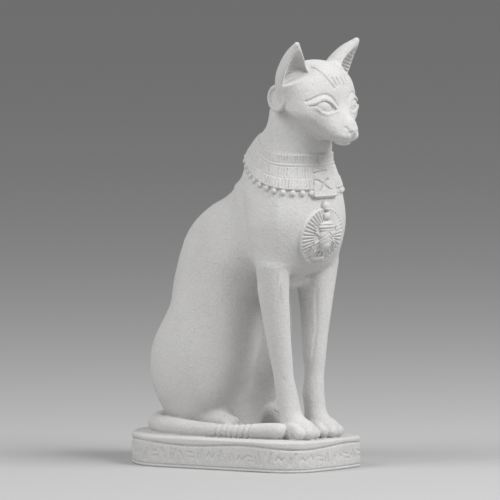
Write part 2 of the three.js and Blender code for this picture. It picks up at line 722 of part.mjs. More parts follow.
// The base: one outline, drawn in or let out from level to level
// Its plan is drawn as shares of the widths and lengths named above.
const baseOutline = [
  [0.85, -0.93],
  [0.47, -0.97],
  [-0.13, -1],
  [-0.49, -0.98],
  [-0.69, -0.84],
  [-0.79, -0.53],
  [-0.91, -0.08],
  [-1, 0.39],
  [-0.86, 0.63],
  [-0.6, 0.83],
  [-0.17, 0.97],
  [0.47, 0.91],
  [0.9, 0.66],
  [1.02, 0.23],
  [0.98, -0.41],
  [0.98, -0.8],
].map(([side, along]) => {
  const width = side < 0 ? baseTailWidth : baseLeftWidth;
  const length = along < 0 ? baseFront : baseRear;
  return new THREE.Vector3(side * width, along * length, 0);
});
function stand() {
  const curve = new THREE.CatmullRomCurve3(baseOutline, true, 'centripetal');
  const around = 96;
  const ring = curve.getPoints(around).slice(0, around);
  const reached = curve.getLengths(around);
  const drawn = (inset, z, wavy = 0) =>
    ring.map((p, i) => {
      const before = ring[(i + around - 1) % around];
      const after = ring[(i + 1) % around];
      const along = new THREE.Vector2(after.x - before.x, after.y - before.y).normalize();
      const share = reached[i] / reached[around];
      const wave = -wavy * grooveWave * Math.cos((share - 0.14) * grooveWaves * 2 * Math.PI);
      return [p.x + along.y * inset, p.y - along.x * inset, z + wave];
    });
  const groove = plinthHeight;
  const levels = [
    [plinthFootRound, 0],
    [0.35, plinthFootRound * 0.35],
    [0, footGrooveLift - footGrooveHeight / 2],
    [footGrooveDepth, footGrooveLift],
    [0, footGrooveLift + footGrooveHeight / 2],
    [0, groove - grooveHeight / 2, 1],
    [grooveDepth, groove - grooveHeight / 4, 1],
    [grooveDepth, groove + grooveHeight / 4, 1],
    [0.2, groove + grooveHeight / 2, 1],
    [0, groove + grooveHeight / 2 + 0.6, 1],
    [0, standTop - slabEdgeRound],
    [slabEdgeRound * 0.29, standTop - slabEdgeRound * 0.29],
    [slabEdgeRound, standTop],
  ].map(([inset, z, wavy]) => drawn(inset, z, wavy));
  const points = levels.flat(2);
  const faces = [];
  const last = (levels.length - 1) * around;
  for (let k = 0; k + 1 < levels.length; k++)
    for (let i = 0; i < around; i++) {
      const j = (i + 1) % around;
      const low = k * around;
      const high = low + around;
      faces.push(low + j, low + i, high + i, low + j, high + i, high + j);
    }
  const turns = ([a, b, c]) => {
    const [u, v] = [ring[b].clone().sub(ring[a]), ring[c].clone().sub(ring[a])];
    return u.x * v.y > v.x * u.y;
  };
  const plan = levels[0].map(([x, y]) => new THREE.Vector2(x, y));
  for (const cap of THREE.ShapeUtils.triangulateShape(plan, [])) {
    const [a, b, c] = turns(cap) ? cap : cap.toReversed();
    faces.push(a, c, b, last + a, last + b, last + c);
  }
  return solidFrom(points, faces);
}

// Places on the skin, in mm of the posed figure
function frontAt(x, z) {
  let outside = -130;
  let inside = -62;
  for (let i = 0; i < 30; i++) {
    const y = (outside + inside) / 2;
    if (field(x, y, z) < 0) inside = y;
    else outside = y;
  }
  return inside;
}
function collarAt(angle, up = 0, thickness = 0) {
  const heightAt = (y) => collarLow(y) + up * collarNarrowing(y);
  let y = -86;
  let inside = 5;
  for (let pass = 0; pass < 5; pass++) {
    inside = 5;
    let outside = 75;
    for (let i = 0; i < 24; i++) {
      const r = (inside + outside) / 2;
      if (field(Math.sin(angle) * r, -60 - Math.cos(angle) * r, heightAt(y)) < 0) inside = r;
      else outside = r;
    }
    y = -60 - Math.cos(angle) * inside;
  }
  const r = inside + thickness;
  return [Math.sin(angle) * r, -60 - Math.cos(angle) * r, heightAt(y)];
}

// A closed tube of rings: each ring is a list of points, the last ring joins the first
function tube(rings) {
  const n = rings[0].length;
  const faces = [];
  for (let k = 0; k < rings.length; k++)
    for (let i = 0; i < n; i++) {
      const j = (i + 1) % n;
      const low = k * n;
      const high = ((k + 1) % rings.length) * n;
      faces.push(low + i, low + j, high + j, low + i, high + j, high + i);
    }
  return [rings.flat(2), faces];
}
const placed = ([points, faces]) => {
  const moved = points.map((v, i) => v * pose + (i % 3 === 2 ? standTop : 0));
  return solidFrom(moved, faces);
};

const standing = new THREE.Matrix4().makeScale(pose, pose, pose).setPosition(0, 0, standTop);
const ball = (x, y, z, rx, ry = rx, rz = rx) => {
  const round = new THREE.IcosahedronGeometry(1, 1).scale(rx, ry, rz);
  return solidOf(round.translate(x, y, z).applyMatrix4(standing));
};

const carvings = [];
// Collar: three tiers with a cut line between them, thinning towards the neck
const tier = posed(collarThickness);
const collarProfile = [
  [3.4, -4],
  [3.4, 0.7 * tier],
  [4.2, tier],
  [11.2, tier],
  [11.9, 0.6 * tier],
  [12.6, 0.8 * tier],
  [19.6, 0.8 * tier],
  [20.4, 0.45 * tier],
  [21.2, 0.75 * tier],
  [22.4, 0.75 * tier],
  [23.2, 0.4 * tier],
  [24, 0.65 * tier],
  [28.9, 0.65 * tier],
  [29.7, 0.4 * tier],
  [29.7, -4],
];
const collarSteps = 52;
const collarRings = collarProfile.map(([up, thickness]) =>
  Array.from({ length: collarSteps }, (_, i) => collarAt((i / collarSteps) * Math.PI * 2, up, thickness)),
);
carvings.push(placed(tube(collarRings)));

// Front panel of the collar, wider at the foot, wrapped on the breast
const panelAside = 1.2;
const panelRows = [[-2.4, 10.8], [-1.7, 11.4], [18.3, 9.3], [19, 8.8]];
const panelFront = panelRows.map(([up, half]) => [-1, -0.5, 0, 0.5, 1].map((s) => {
  return collarAt((s * half - panelAside) / 27, up, tier + (Math.abs(s) === 1 ? 0.5 : 1.3));
}));
const panelBack = panelFront.map((row) => row.map(([x, y, z]) => [x, y + 5, z]).toReversed());
const panelRings = panelFront.map((row, i) => [...row, ...panelBack[i]]);
const panelSides = tube(panelRings);
const panelSize = panelRings[0].length;
const panelFaces = panelSides[1].slice(0, (panelRings.length - 1) * panelSize * 6);
const panelTop = (panelRings.length - 1) * panelSize;
for (let i = 0; i < 4; i++) {
  const mate = panelSize - 1 - i;
  panelFaces.push(i, mate - 1, i + 1, i, mate, mate - 1);
  for (const corner of [i, i + 1, mate - 1, i, mate - 1, mate]) panelFaces.push(panelTop + corner);
}
carvings.push(placed([panelSides[0], panelFaces]));

// Bead row under the collar, left open where the front panel hangs
const beadLift = 0.6; // of the beads' centres above the collar's lower line
const beadEnd = 0.51; // half angle of the panel and its clearance, in radians
let angle = beadEnd;
while (angle < Math.PI * 0.93) {
  const [x, y, z] = collarAt(angle, beadLift, 0);
  carvings.push(ball(x, y, z, posed(beadRadius)), ball(-x, y, z, posed(beadRadius)));
  angle += posed(beadPitch) / Math.hypot(x, y + 60);
}
carvings.push(ball(...collarAt(Math.PI, beadLift, 0), posed(beadRadius)));

// Hoops through the ears, turned a little to lie along the narrowing head
const hoopTurn = (9 * Math.PI) / 180;
for (const side of [-1, 1]) {
  const hoop = new THREE.TorusGeometry(posed(earringRadius), posed(earringWire), 6, 20);
  const web = new THREE.CylinderGeometry(posed(earringRadius), posed(earringRadius), posed(earringWeb), 20);
  web.rotateX(Math.PI / 2).translate(0, 0, -side * 0.4);
  for (const piece of [hoop, web]) {
    piece.rotateY(Math.PI / 2).rotateZ(side * hoopTurn).translate(side * 30.4, -65.4, 261.8);
    carvings.push(solidOf(piece.applyMatrix4(standing)));
  }
}

// Beetle on the pendant with the sun ball above it, and rays round the rim.
// Each part: [height above the pendant's centre, half width, thickness, half height], in beetle lengths
const beetle = [
  [-0.07, 0.39, 0.16, 0.46],
  [0.415, 0.44, 0.15, 0.25],
  [0.88, 0.17, 0.13, 0.17],
  [-0.4, 0.25, 0.185, 0.23],
  [-0.92, 0.36, 0.075, 0.105],
];
const beetleSize = posed(beetleLength);
for (const [rise, ...radii] of beetle) {
  const z = pendantHeight + rise * beetleSize;
  carvings.push(ball(pendantX, frontAt(pendantX, z) - 0.4, z, ...radii.map((r) => r * beetleSize)));
}
const sunHeight = pendantHeight + posed(pendantRadius + 0.5 * sunBallRadius);
const sunFront = frontAt(pendantX, sunHeight) - 0.3 * posed(sunBallRadius);
carvings.push(ball(pendantX, sunFront, sunHeight, posed(sunBallRadius)));
const rayCount = 40;
for (let i = 0; i < rayCount; i++) {
  const turn = (i / rayCount) * Math.PI * 2;
  const ends = [0.55, 0.96].map((share) => {
    const r = share * posed(pendantRadius);
    const x = pendantX + Math.sin(turn) * r;
    const z = pendantHeight + Math.cos(turn) * r;
    return new THREE.Vector3(x, frontAt(x, z), z);
  });
  const along = ends[1].clone().sub(ends[0]);
  const ray = new THREE.ConeGeometry(0.05 * posed(pendantRadius), along.length(), 4, 1);
  ray.scale(1, -1, 1);
  ray.index.array.reverse();
  const upright = new THREE.Vector3(0, 1, 0);
  const pull = new THREE.Quaternion().setFromUnitVectors(upright, along.clone().normalize());
  const middle = ends[0].clone().lerp(ends[1], 0.5);
  ray.applyQuaternion(pull).translate(middle.x, middle.y, middle.z);
  carvings.push(solidOf(ray.applyMatrix4(standing)));
}

// Cut rings near the end of the tail
const cuts = [];
for (let i = 0; i < tailRingCount; i++) {
  const y = -16 - i * posed(tailRingPitch);
  const nearest = tailPoints.reduce((a, b) => (Math.abs(b[1] - y) < Math.abs(a[1] - y) ? b : a));
  const [x, , z, r] = nearest;
  const ring = new THREE.TorusGeometry(r + 0.4 * posed(tailRingRadius), posed(tailRingRadius), 4, 16);
  ring.rotateX(Math.PI / 2).rotateZ(0.2).translate(x, y, z);
  cuts.push(solidOf(ring.applyMatrix4(standing)));
}

const raw = skin();
function important(x, y, z) {
  if (z > 215) return y < -85 ? 14 : 6;
  if (z > 185 || (z > 130 && y < -70)) return 3;
  return z < 26 && y < 0 ? 5 : 1;
}
const thinned = thin(raw.points, raw.faces, figureTriangles, important);
for (let i = 0; i < thinned.points.length; i += 3) {
  thinned.points[i] *= pose;
  thinned.points[i + 1] *= pose;
  thinned.points[i + 2] = thinned.points[i + 2] * pose + standTop;
}
const figure = solidFrom(thinned.points, thinned.faces);
const whole = wasm.Manifold.union([figure, stand(), ...carvings]).subtract(wasm.Manifold.union(cuts));

const joined = whole.getMesh();
const onFigure = (x, y, z) => important(x / pose, y / pose, (z - standTop) / pose);
const rested = Float64Array.from(joined.vertProperties);
const result = thin(rested, Uint32Array.from(joined.triVerts), allTriangles, onFigure);
const packed = new Map();
const positions = [];
const triangles = Array.from(result.faces, (v) => {
  if (!packed.has(v)) {
    packed.set(v, packed.size);
    for (const place of result.points.subarray(v * 3, v * 3 + 3))
      positions.push(Math.abs(place) < 1e-3 ? 0 : place);
  }
  return packed.get(v);
});
const geometry = new THREE.BufferGeometry();
geometry.setAttribute('position', new THREE.Float32BufferAttribute(positions, 3));
geometry.setIndex(triangles);
geometry.computeVertexNormals();
const cat = new THREE.Mesh(geometry, plaster);
cat.name = 'bastet_cat';

const root = new THREE.Group();
root.name = 'bastet_cat_figure';
root.add(cat);
export default root;
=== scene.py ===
import math

import bpy
import numpy as np
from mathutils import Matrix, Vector


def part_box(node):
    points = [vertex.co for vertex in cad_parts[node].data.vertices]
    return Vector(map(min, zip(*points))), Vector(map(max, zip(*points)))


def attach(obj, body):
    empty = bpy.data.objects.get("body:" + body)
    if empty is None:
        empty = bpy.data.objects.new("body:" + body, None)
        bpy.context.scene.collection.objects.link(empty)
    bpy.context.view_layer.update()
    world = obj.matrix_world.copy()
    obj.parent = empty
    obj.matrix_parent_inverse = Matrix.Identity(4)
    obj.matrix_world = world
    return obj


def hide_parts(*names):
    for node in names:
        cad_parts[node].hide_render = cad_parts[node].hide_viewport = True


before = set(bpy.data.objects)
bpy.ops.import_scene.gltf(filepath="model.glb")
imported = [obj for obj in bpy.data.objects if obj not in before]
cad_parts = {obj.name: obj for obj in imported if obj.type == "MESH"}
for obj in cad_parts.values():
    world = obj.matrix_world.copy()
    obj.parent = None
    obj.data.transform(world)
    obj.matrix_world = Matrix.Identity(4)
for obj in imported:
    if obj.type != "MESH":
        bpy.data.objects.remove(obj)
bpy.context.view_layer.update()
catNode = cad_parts["bastet_cat"]
lowCorner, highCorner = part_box("bastet_cat")
print("frame loaded")

# Sizes of the base, in mm. The cat is written, as its solid is, in mm of a figure of posedHeight whose
# soles are at height 0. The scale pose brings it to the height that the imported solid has.
base = {
    "top": 23.5,
    "plinth": 18.5,
    "edgeRound": 1.6,
    "footRound": 1.2,
    "grooveDeep": 1.4,
    "grooveHalf": 0.75,
    "grooveWave": 1.1,
    "grooveWaves": 5,
    "grooveStart": 0.14,
    "footGrooveLift": 2.2,
    "footGrooveDeep": 0.8,
    "footGrooveHalf": 0.55,
    "tailWidth": 70.0,
    "leftWidth": 43.0,
    "front": 98.0,
    "rear": 88.0,
    "centre": (-13.5, -5.0),
}
posedHeight = 306.2
pose = ((highCorner.z - lowCorner.z) * 1000 - base["top"]) / posedHeight


# Distances, all on arrays of points (n, 3). Negative is inside.
sharp = 1e-6  # a blend so narrow that two forms meet in an edge
farOff = 1e3  # where no form has been measured yet


def clamp01(t):
    return np.clip(t, 0.0, 1.0)


def smoothstep(low, high, v):
    t = clamp01((v - low) / (high - low))
    return t * t * (3 - 2 * t)


def blend(a, b, k):
    h = np.maximum(k - np.abs(a - b), 0) / k
    return np.minimum(a, b) - h * h * k / 4


def carve(a, b, k):
    h = np.maximum(k - np.abs(a + b), 0) / k
    return np.maximum(a, -b) + h * h * k / 4


def bump(distance, width):
    return np.exp(-((distance / width) ** 2))


def ellipsoid(cx, cy, cz, rx, ry, rz):
    def distance(p):
        dx, dy, dz = p[:, 0] - cx, p[:, 1] - cy, p[:, 2] - cz
        k0 = np.sqrt((dx / rx) ** 2 + (dy / ry) ** 2 + (dz / rz) ** 2)
        k1 = np.sqrt((dx / rx**2) ** 2 + (dy / ry**2) ** 2 + (dz / rz**2) ** 2)
        return k0 * (k0 - 1) / np.maximum(k1, 1e-9)

    return distance


def limb(points):
    points = np.array(points, float)

    def distance(p):
        best = np.full(len(p), np.inf)
        for a, b in zip(points[:-1], points[1:]):
            u = b[:3] - a[:3]
            t = clamp01((p - a[:3]) @ u / (u @ u))
            gap = np.linalg.norm(p - a[:3] - t[:, None] * u, axis=1)
            best = np.minimum(best, gap - a[3] - (b[3] - a[3]) * t)
        return best

    return distance


def hermite(before, start, end, after, t):
    m0, m1 = (end - before) / 2, (after - start) / 2
    t2, t3 = t * t, t**3
    return (
        (2 * t3 - 3 * t2 + 1) * start + (t3 - 2 * t2 + t) * m0
        + (3 * t2 - 2 * t3) * end + (t3 - t2) * m1
    )


def horn(points):
    # Like a limb, with rounded turns, and with a skin that touches every ball along it
    p = np.array(points, float)
    p = np.vstack([2 * p[0] - p[1], p, 2 * p[-1] - p[-2]])
    path = [hermite(*p[i - 1 : i + 3], t / 4) for i in range(1, len(p) - 2) for t in range(4)]
    path.append(p[-2])

    def distance(q):
        best = np.full(len(q), np.inf)
        for a, b in zip(path[:-1], path[1:]):
            u = b[:3] - a[:3]
            length = np.linalg.norm(u)
            slant = (b[3] - a[3]) / length
            v = q - a[:3]
            along = v @ u / length
            out = np.sqrt(np.maximum((v * v).sum(1) - along**2, 0))
            t = clamp01((along + out * slant / math.sqrt(1 - slant**2)) / length)
            best = np.minimum(best, np.hypot(along - t * length, out) - a[3] - slant * length * t)
        return best

    return distance


def sections(levels):
    levels = np.array(levels, float)
    heights = levels[:, 0]
    last = len(levels) - 1

    def distance(p):
        x, y, z = p.T
        i = np.clip(np.searchsorted(-heights, -z, side="right") - 1, 0, last - 1)
        t = clamp01((heights[i] - z) / (heights[i] - heights[i + 1]))

        def value(j):
            v = levels[:, j]
            return hermite(v[np.maximum(i - 1, 0)], v[i], v[i + 1], v[np.minimum(i + 2, last)], t)

        widest, w = value(2), value(4)
        deep = np.where(y < widest, widest - value(1), value(3) - widest)
        dy = y - widest
        k0 = np.hypot(x / w, dy / deep)
        k1 = np.hypot(x / w**2, dy / deep**2)
        side = k0 * (k0 - 1) / np.maximum(k1, 1e-9)
        over = np.maximum(z - heights[0], heights[-1] - z)
        return np.where((over > 0) & (side > 0), np.hypot(over, side), np.maximum(side, over))

    return distance


def toLine(points, x, z):
    best = np.full(len(x), np.inf)
    for (ax, az), (bx, bz) in zip(points[:-1], points[1:]):
        ux, uz = bx - ax, bz - az
        t = clamp01(((x - ax) * ux + (z - az) * uz) / (ux**2 + uz**2))
        best = np.minimum(best, np.hypot(x - ax - ux * t, z - az - uz * t))
    return best


def centripetal(p0, p1, p2, p3, t):
    pairs = ((p0, p1), (p1, p2), (p2, p3))
    d0, d1, d2 = (max(np.linalg.norm(b - a), 1e-4) ** 0.5 for a, b in pairs)
    m1 = ((p1 - p0) / d0 - (p2 - p0) / (d0 + d1) + (p2 - p1) / d1) * d1
    m2 = ((p2 - p1) / d1 - (p3 - p1) / (d1 + d2) + (p3 - p2) / d2) * d1
    t2, t3 = t * t, t**3
    return (
        (2 * t3 - 3 * t2 + 1) * p1 + (t3 - 2 * t2 + t) * m1
        + (3 * t2 - 2 * t3) * p2 + (t3 - t2) * m2
    )


# The cat's masses. Paired parts are written for the left side and mirrored.
breastFoot = 124
neckAndBreast = sections([
    [251, -80, -64, -38.5, 22.5],
    [240, -81.5, -62, -35.5, 22.5],
    [226, -85.4, -60, -22.5, 26.3],
    [212, -83, -58, -14, 30],
    [194, -87, -64, -11, 35],
    [177, -90, -66, -10, 38.2],
    [163, -90.4, -66, -10, 38.4],
    [150, -88.4, -64, -14, 36],
    [140, -83, -62, -22, 32.4],
    [132, -77, -60, -34, 26],
    [126.5, -70, -58, -44, 17],
    [breastFoot, -63, -57, -50, 8],
])
trunk = sections([
    [190, -40, -25, -9, 25],
    [184, -45, -25, 2, 27.5],
    [175.5, -50, -25, 20, 31],
    [166, -55, -25, 34, 34.5],
    [157, -57, -22, 43, 36.5],
    [148, -58, -20, 49, 38],
    [133, -50, -10, 54, 39.5],
    [114, -36, 5, 57, 41],
    [95, -25, 15, 57, 42],
    [85, -22, 18, 58.6, 42.4],
    [76, -19, 20, 63.4, 43],
    [66, -17, 21, 68.6, 43.5],
    [56, -15, 22, 71, 43.5],
    [36, -11, 22, 69, 41.5],
    [20, -7, 22, 63.6, 36.5],
    [-4, -10, 22, 60, 34],
])
foreleg = limb([
    [21, -46, 182, 16.5],
    [25, -53.5, 162, 17],
    [28.2, -57.7, 134, 14],
    [25.4, -58.1, 107, 11.5],
    [21.5, -58.8, 79, 9.6],
    [17.4, -61, 46, 7.5],
    [15.2, -62.2, 32, 8.4],
    [14.2, -65.2, 18, 8.4],
])
innerLeg = limb([
    [20, -50, 128, 9],
    [20, -52, 111, 7.6],
    [20, -53.5, 97, 6.8],
    [18.5, -56, 79, 6],
    [17, -58.5, 61, 5.5],
])
lowBelly = ellipsoid(0, -49, 122, 17, 12, 9.5)
thigh = ellipsoid(30, 22, 51, 17, 36, 41)
flank = ellipsoid(18, -8, 84, 23, 20, 42)
shoulderCrease = [[-33, 190], [-35, 184], [-44.6, 152.5], [-52, 120]]
hindFoot = limb([[28, 20, 10, 9.5], [28.5, -8, 10, 8.6], [28.5, -18, 8, 7]])
hindMiddle, hindToePitch = 28.5, 3.8
hindToes = [
    limb([[hindMiddle + side * 0.7, -12, 11.6, 3.8], [hindMiddle + side, -25 + abs(side) * 0.5, 5.6, 3.8]])
    for side in (-5.7, -1.9, 1.9, 5.7)
]
pawMiddle = 13.3
pawBody = ellipsoid(pawMiddle, -71.5, 6, 11, 17, 10.5)
toes = [
    limb([
        [pawMiddle + side * 0.75, -68, 9.6, 4],
        [pawMiddle + side * 0.95, forward + 4.5, 7.6, 4.5],
        [pawMiddle + side, forward, 4.6, 4.4],
    ])
    for side, forward in ((-8.6, -81.5), (-3.1, -85.8), (3.1, -85.8), (8.6, -81.5))
]
head = {
    "skull": ellipsoid(0, -76, 262.5, 29.5, 28.5, 28),
    "brow": ellipsoid(0, -85, 266.5, 29.2, 15.8, 19.5),
    "orbit": ellipsoid(12.3, -85, 259, 14.5, 14.8, 16.5),
    "saddle": ellipsoid(0, -92, 253, 13.5, 13.2, 13),
    "cheek": ellipsoid(15, -80, 250, 15.4, 22, 14.5),
    "muzzle": limb([[0, -80, 249, 18], [0, -98.5, 241.5, 11.8], [0, -109.6, 237.5, 7.6]]),
    "muzzleSide": limb([[15, -84, 250, 11], [5.5, -104, 238.5, 6.8]]),
    "jaw": limb([[13, -62, 250, 11], [9, -87, 239, 9.5], [3, -102, 233, 6.4]]),
    "noseBridge": limb([[0, -93.5, 264, 6], [0, -98.5, 253, 5.5], [0, -112.3, 243.2, 4.2]]),
    "lip": ellipsoid(4.2, -109, 234, 5.6, 7.2, 4.4),
    "chin": ellipsoid(0, -105.6, 230.4, 7, 6.6, 4.2),
    "nosePad": ellipsoid(0, -113.7, 238.2, 6, 5, 4.2),
}
# How softly each of them joins the skull
headBlends = {
    "brow": 8, "orbit": 5, "saddle": 4, "cheek": 10, "muzzle": 8, "muzzleSide": 6, "jaw": 8,
    "noseBridge": 6, "lip": 3, "chin": 4, "nosePad": 2,
}
# The underside of the head: [y, height on the centre plane, height at the jaw's edge, half width there]
jawEdge = np.array([
    [-116, 224, 228, 7], [-106, 225.4, 230.6, 9], [-95, 227.6, 235.5, 15], [-85, 231, 240.7, 20.5],
    [-76, 238, 248.5, 25], [-70, 243, 254, 26.5], [-62, 250, 264, 27], [-50, 262, 280, 27],
]).T
throat = limb([[0, -60, 240, 21], [0, -63.5, 251, 21]])
earShell = horn([
    [15, -71, 258, 11],
    [20.5, -73, 268, 13],
    [25, -74.6, 277, 11.8],
    [27.7, -78.8, 286, 10.2],
    [30.4, -82.8, 294.5, 7],
    [34.2, -89.2, 304, 2.3],
])
earHollow = horn([[26.8, -80.4, 273, 9.8], [29.8, -85.6, 286, 7.9], [34.4, -92.2, 300.2, 0.6]])

# The cat's ornaments, real sizes in mm
ornament = {
    "collarThickness": 2.2,
    "beadRadius": 2.5,
    "beadPitch": 7.0,
    "beadLift": 0.6,
    "pendantRadius": 21.6,
    "pendantAside": 3.2,
    "pendantClearance": 10.4,
    "pendantThickness": 1.6,
    "sunBall": 3.7,
    "hoopRadius": 9.0,
    "hoopWire": 1.7,
    "hoopWeb": 1.8,
    "tailRadius": 7.4,
    "tailRingPitch": 4.5,
}
own = {name: size / pose for name, size in ornament.items()}
pendantX = -own["pendantAside"]
pendantHeight = breastFoot + own["pendantClearance"] + own["pendantRadius"]
rayCount = 40

tailRoute = np.array([
    [28, 60.5, 9], [8, 63, 8], [-12, 65.5, 7], [-32, 56.5, 6.4], [-45.5, 37, 6], [-48, 12, 5.8],
    [-43.5, -14, 5.4], [-38, -34, 5.4], [-30.5, -54, 6.2], [-27, -64, 6.4], [-23.5, -74, 6.6],
], float)
tailForm = {
    "steps": 40,
    "thin": 5,
    "tipSwell": 1.1,
    "rings": 7,
    "firstRing": -16,
    "ringCut": 1.0,
    "ringHalf": 0.7,
}


def tailBalls():
    balls = []
    thick, thin = own["tailRadius"], tailForm["thin"]
    for i in range(tailForm["steps"] + 1):
        t = i / tailForm["steps"]
        span = min(t * 8, 7.9999)
        start = int(span)
        if t < 0.7:
            r = thick + (thin - thick) * smoothstep(0.35, 0.68, t)
        else:
            r = thin + tailForm["tipSwell"] * smoothstep(0.72, 0.9, t)
        balls.append([*centripetal(*tailRoute[start : start + 4], span - start), r])
    return balls


tailPoints = tailBalls()
tail = limb(tailPoints)
tailEnd = np.array(tailPoints[tailForm["steps"] // 2 :])
tailRings = [tailForm["firstRing"] - i * own["tailRingPitch"] for i in range(tailForm["rings"])]

# Lines of the face, seen from the front: [sideways from the centre plane, height]
face = {
    "brow": [
        [27.6, 260.5], [25.5, 261.7], [23, 263.3], [19, 265], [15.5, 265.8], [12.7, 265], [10, 263.2],
        [7, 259.8], [5.2, 256.5],
    ],
    "upperLid": [
        [27.1, 257.3], [24.7, 257.8], [22.4, 259.3], [19.7, 260.7], [16, 261], [12.2, 259.1],
        [8.6, 256], [7.3, 254.3],
    ],
    "lowerLid": [[23.3, 256.4], [20.6, 253], [15, 251.8], [11, 252.3], [7.5, 253.9]],
    "mouth": [[0, 228.6], [5.9, 229.2], [7.5, 230.7], [10.3, 232.3]],
    "nostrilEdge": [[6.1, 240.6], [5.2, 238], [3.9, 235.6]],
    "lipCleft": [[0, 235], [0, 229.5]],
    "scalpFolds": [
        [[-14.6, 285.6], [-12.5, 281], [-10.1, 275.8], [-7.2, 270.2]],
        [[15.8, 286.6], [10.4, 281.8], [8.4, 276.6], [7.8, 270.6]],
    ],
    "scalpStrokes": [
        [[-6, 277.6], [-4.4, 272]],
        [[-2, 277.2], [-0.9, 272.2]],
        [[2.9, 277.8], [4.4, 271.8]],
    ],
    "eye": (17.3, 256.7),
    "nostril": (3.1, 237.0),
    "irisRadius": 2.8,
}
# How deep and how wide each line of the face is cut, or how far it is raised
faceDepths = {
    "brow": (0.9, 1),
    "upperLidRaised": (0.75, 1.3),
    "upperLidCrease": (0.5, 0.55),
    "lowerLidRaised": (0.5, 1.1),
    "lowerLidCrease": (0.3, 0.5),
    "irisRim": (0.35, 0.5),
    "mouth": (0.9, 0.9),
    "nostril": (1.0, 0.95),
    "nostrilEdge": (0.7, 0.7),
    "lipCleft": (0.6, 0.6),
    "scalpFolds": (1.2, 0.75),
    "scalpStrokes": (1.3, 0.75),
}


def heightOn(points, x):
    line = np.array(points)[::-1]
    return np.interp(x, line[:, 0], line[:, 1])


def groove(name, gap):
    depth, width = faceDepths[name]
    return depth * bump(gap, width)


def faceCut(q, fine):
    # Here and below, fine adds the relief that only the refined mesh can hold
    x, y, z = q.T
    dx, dz = x - face["eye"][0], z - face["eye"][1]
    upperLid, lowerLid = face["upperLid"], face["lowerLid"]
    cut = groove("brow", toLine(face["brow"], x, z))
    lifted = z - 1.8 * smoothstep(254, 257, z)
    cut -= groove("upperLidRaised", toLine(upperLid, x, lifted)) * smoothstep(28, 24, x)
    opening = np.minimum(heightOn(upperLid, x) - z, z - heightOn(lowerLid, x))
    inEye = smoothstep(7.2, 8.0, x) * smoothstep(27, 25.5, x)
    eye = 1 - (np.hypot(dx, dz * 1.7) / 9) ** 2
    iris = np.hypot(dx, dz) - face["irisRadius"]
    edge, ball = ((-0.3, 0.7), 0.3) if fine else ((-0.5, 1.2), 0.5)
    socket = 1.25 * smoothstep(*edge, opening) - 1.35 * clamp01(eye) - ball * smoothstep(0.4, -0.5, iris)
    cut += inEye * socket
    cut -= groove("lowerLidRaised", toLine(lowerLid, x, z + 1.3))
    cut += groove("mouth", toLine(face["mouth"], x, z))
    if fine:
        cut += groove("upperLidCrease", toLine(upperLid, x, z + 0.3))
        cut += groove("irisRim", iris + 0.3) * inEye * smoothstep(1, -1, dz)
        cut += groove("lowerLidCrease", toLine(lowerLid, x, z - 0.2))
        cut += groove("nostril", np.hypot(x - face["nostril"][0], z - face["nostril"][1]))
        cut += groove("nostrilEdge", toLine(face["nostrilEdge"], x, z))
        cut += groove("lipCleft", toLine(face["lipCleft"], x, z))
    cut *= (y < -80) * smoothstep(225.5, 227, z) * smoothstep(272.5, 271, z)
    return cut


def scalpCut(p):
    x, y, z = p.T
    cut = np.zeros(len(p))
    for name in ("scalpFolds", "scalpStrokes"):
        for line in face[name]:
            cut += groove(name, toLine(line, x, z))
    return np.where((y < -76) & (z > 268), cut, 0)


def earSill(x):
    # The opening's lower edge
    return 271.2 + 0.657 * (37 - x)


def earFloor(x, y):
    # The hollow's foot: a ramp that climbs from the sill to the back wall
    return earSill(x) + 0.9 * np.maximum(y + 76 + 0.68 * (32 - x), 0)


def earHairs(q):
    # Ridges that slant down the back wall inside the ear and end before its inner wall
    x, y, z = q.T
    comb = 0.5 + 0.5 * np.cos(2 * np.pi * (z + 0.5 * (x - 26)) / 2.6)
    back = smoothstep(-1.5, 1.5, y + 76.5 + 0.45 * (z - 275) + 0.55 * (x - 26))
    return comb * back * smoothstep(1, 3, z - earSill(x)) * smoothstep(297, 292, z)


def headField(p, q, fine):
    d = head["skull"](p)
    for name, k in headBlends.items():
        d = blend(d, head[name](q), k)
    middle, edge, wide = (np.interp(p[:, 1], jawEdge[0], row) for row in jawEdge[1:])
    d = carve(d, 0.8 * (p[:, 2] - middle - (edge - middle) * (q[:, 0] / wide) ** 1.5), 2.5)
    d += faceCut(q, fine)
    if fine:
        d += scalpCut(p)
    spot = np.nonzero(q[:, 2] > 240)[0]
    if len(spot):
        ear = q[spot]
        shell = earShell(ear)
        hollow = np.maximum(earHollow(ear), earFloor(ear[:, 0], ear[:, 1]) - ear[:, 2])
        if fine:
            hollow += earHairs(ear) * smoothstep(-0.6, -2.4, shell)
        d[spot] = carve(blend(d[spot], shell, 5), hollow, 1.6)
    return d


def within(v, low, high):
    return (v > low) & (v < high)


def join(d, where, part, points, k):
    spot = np.nonzero(where)[0]
    if len(spot):
        d[spot] = blend(d[spot], part(points[spot]), k)


def breastEdge(q):
    # The faint upright edge between the breast's front and its side
    x, y, z = q.T
    aside = np.abs(-0.669 * x - 0.743 * y - 29.2)
    return 0.5 * np.exp(-aside / 3.5) * smoothstep(196, 188, z) * smoothstep(138, 152, z) * (y < -55)


def legLine(q):
    x, y, z = q.T
    line = toLine([[16.2, 116.7], [15.1, 83.6], [12.6, 66], [10.3, 51.5]], x, z)
    return np.where(y < -58, 0.4 * bump(line, 0.7), 0) * smoothstep(50, 64, z) * smoothstep(119, 106, z)


